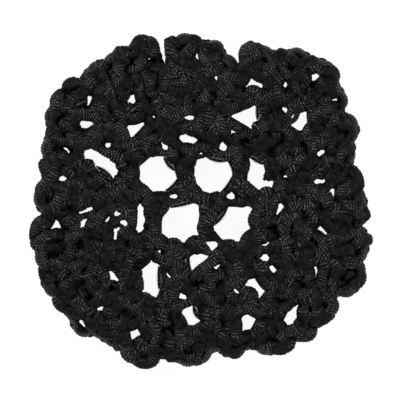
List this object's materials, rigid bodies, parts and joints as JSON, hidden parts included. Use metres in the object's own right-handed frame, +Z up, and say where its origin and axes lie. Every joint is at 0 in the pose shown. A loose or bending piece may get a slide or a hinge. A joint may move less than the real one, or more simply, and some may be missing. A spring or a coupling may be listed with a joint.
{
  "type": "hair net",
  "caption": "Crocheted net cover for a hair bun: open round crown with a scalloped edge, turned under to a gathered elastic mouth.",
  "frame": {"origin": "on the surface that the net lies on, under the middle of its outline", "axes": "+Z up out of the crown, +X to the right and +Y to the top of the outline seen from above the crown"},
  "size_m": [0.1005, 0.0981, 0.0163],
  "materials": {
    "yarn": "flat knitted tube yarn in near-black, crocheted, soft sheen",
    "elastic": "black covered elastic, matt"
  },
  "bodies": {
    "root": {"crown_net": "yarn", "under_net": "yarn", "rim_band": "yarn", "rim_elastic": "elastic"}
  },
  "joints": []
}
